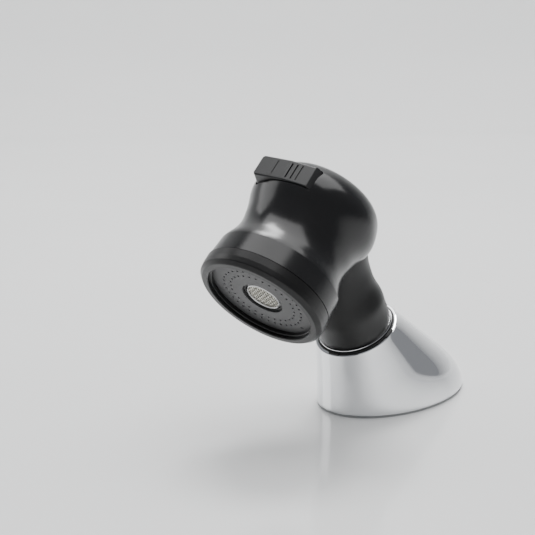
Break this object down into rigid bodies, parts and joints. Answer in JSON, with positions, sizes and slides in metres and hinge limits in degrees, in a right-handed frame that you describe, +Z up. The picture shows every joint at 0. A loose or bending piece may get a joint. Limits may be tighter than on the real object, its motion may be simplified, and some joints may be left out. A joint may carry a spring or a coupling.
{
  "type": "basin hand shower with deck holder",
  "caption": "Salon basin hand shower: round spray head with stream and shower see-saw switch, parked in a slanted chrome deck holder.",
  "frame": {"origin": "centre of the deck hole, on the underside of the gasket", "axes": "+Z up out of the deck, the shower leans and sprays towards -Y, X is the width"},
  "size_m": [0.0558, 0.15, 0.1639],
  "materials": {
    "chrome_shell": "polished",
    "chrome_ring": "polished",
    "shank_metal": "satin",
    "nut_brass": "satin",
    "steel": "satin",
    "steel_mesh": "woven",
    "black_casing": "semi-gloss",
    "black_bush": "matte",
    "grey_plate": "satin",
    "grey_lever": "satin",
    "white_nylon": "matte",
    "black_rubber": "matte"
  },
  "bodies": {
    "holder": {"holder_shell": "chrome_shell", "deck_gasket": "black_rubber", "holder_bush": "black_bush", "mounting_shank": "shank_metal", "deck_washer": "black_rubber", "steel_washer": "steel", "lock_nut": "nut_brass"},
    "swivel_cup": {"swivel_ring": "chrome_ring", "guide_sleeve": "white_nylon"},
    "hand_shower": {"neck_sleeve": "black_casing", "head_casing": "black_casing", "face_ring": "black_casing", "spray_plate": "grey_plate", "plate_seal": "black_rubber", "aerator_sleeve": "black_bush", "aerator_rim": "steel", "aerator_mesh": "steel_mesh", "aerator_core": "white_nylon", "aerator_tube": "white_nylon", "distributor_disc": "white_nylon", "waterway": "white_nylon", "check_valve_seat": "black_rubber", "check_valve_cage": "white_nylon", "check_valve_spring": "steel", "diverter_body": "white_nylon", "diverter_plugs": "white_nylon", "rocker_pin": "steel", "nipple_clip": "steel"},
    "rocker": {"rocker_lever": "grey_lever"},
    "diverter": {"diverter_spool": "white_nylon", "spool_seals": "black_rubber"},
    "check_valve": {"check_valve_poppet": "white_nylon"},
    "hose_inlet": {"inlet_nipple": "chrome_ring", "nipple_seal": "black_rubber"}
  },
  "joints": [
    {"name": "hand_shower_swivel", "type": "hinge", "parent": "holder", "child": "swivel_cup", "pos_m": [0, -0.0202, 0.03707], "axis": [0, -0.4793, 0.8776], "range_deg": [-90, 90]},
    {"name": "hand_shower_lift", "type": "slide", "parent": "swivel_cup", "child": "hand_shower", "axis": [0, -0.4793, 0.8776], "range_m": [0, 0.06]},
    {"name": "rocker_tilt", "type": "hinge", "parent": "hand_shower", "child": "rocker", "pos_m": [-0.0008, -0.06258, 0.10616], "axis": [0, -0.7513, -0.66], "range_deg": [0, 21]},
    {"name": "diverter_slide", "type": "slide", "parent": "hand_shower", "child": "diverter", "axis": [1, 0, 0], "range_m": [0, 0.00439]},
    {"name": "check_valve_lift", "type": "slide", "parent": "hand_shower", "child": "check_valve", "axis": [0, -0.4793, 0.8776], "range_m": [0, 0.0025], "stiffness_N_per_m": 60, "springref_m": -0.001, "deforming": ["check_valve_spring"]},
    {"name": "hose_swivel", "type": "hinge", "parent": "hand_shower", "child": "hose_inlet", "pos_m": [0, -0.01157, 0.02127], "axis": [0, -0.4793, 0.8776], "continuous": true}
  ],
  "couplings": [
    {"joint": "rocker_tilt", "follows": "diverter_slide", "rad_per_m": 83.333}
  ]
}
